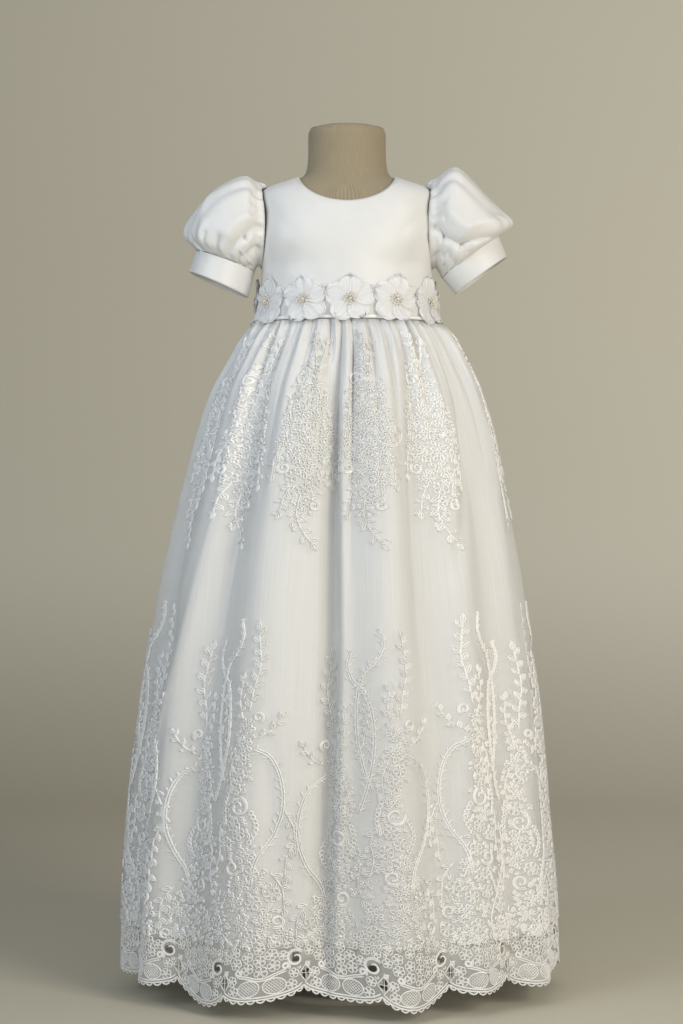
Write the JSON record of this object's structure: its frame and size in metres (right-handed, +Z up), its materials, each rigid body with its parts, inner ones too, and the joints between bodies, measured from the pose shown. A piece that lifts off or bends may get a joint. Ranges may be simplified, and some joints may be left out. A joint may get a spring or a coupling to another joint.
{
  "type": "christening gown on a limbless dress form and stand",
  "caption": "Long white satin christening gown with puffed sleeves, waist flowers and an embroidered sheer overskirt with a scalloped lace hem, standing on a small linen dress form.",
  "frame": {"origin": "on the floor, under the middle of the stand's round base", "axes": "+Z up along the stand's pole, the gown's front faces -Y, and +X is at the right seen from the front"},
  "size_m": [0.4602, 0.3626, 0.905],
  "materials": {
    "satin": "smooth white bridal satin with a soft sheen",
    "organza": "sheer white organza",
    "lace": "white corded embroidery on net",
    "pearl": "pearl and seed bead trim",
    "linen": "plain natural linen",
    "stand_paint": "satin taupe paint"
  },
  "bodies": {
    "root": {"bodice_front": "satin", "bodice_back_left": "satin", "bodice_back_right": "satin", "sleeve_left": "satin", "sleeve_right": "satin", "cuff_left": "satin", "cuff_right": "satin", "underskirt_front": "satin", "underskirt_back_left": "satin", "underskirt_back_right": "satin", "waistband": "organza", "overskirt_front": "organza", "overskirt_back": "organza", "flower_01": "organza", "flower_02": "organza", "flower_03": "organza", "flower_04": "organza", "flower_05": "organza", "flower_06": "organza", "flower_07": "organza", "flower_08": "organza", "flower_09": "organza", "flower_10": "organza", "flower_11": "organza", "cascade_01": "lace", "cascade_02": "lace", "cascade_03": "lace", "cascade_04": "lace", "cascade_05": "lace", "cascade_06": "lace", "cascade_07": "lace", "cascade_08": "lace", "cascade_09": "lace", "cascade_10": "lace", "cascade_11": "lace", "cascade_12": "lace", "hem_lace_front": "lace", "hem_lace_back": "lace", "form_torso": "linen", "stand_pole": "stand_paint", "stand_base": "stand_paint"}
  },
  "joints": []
}
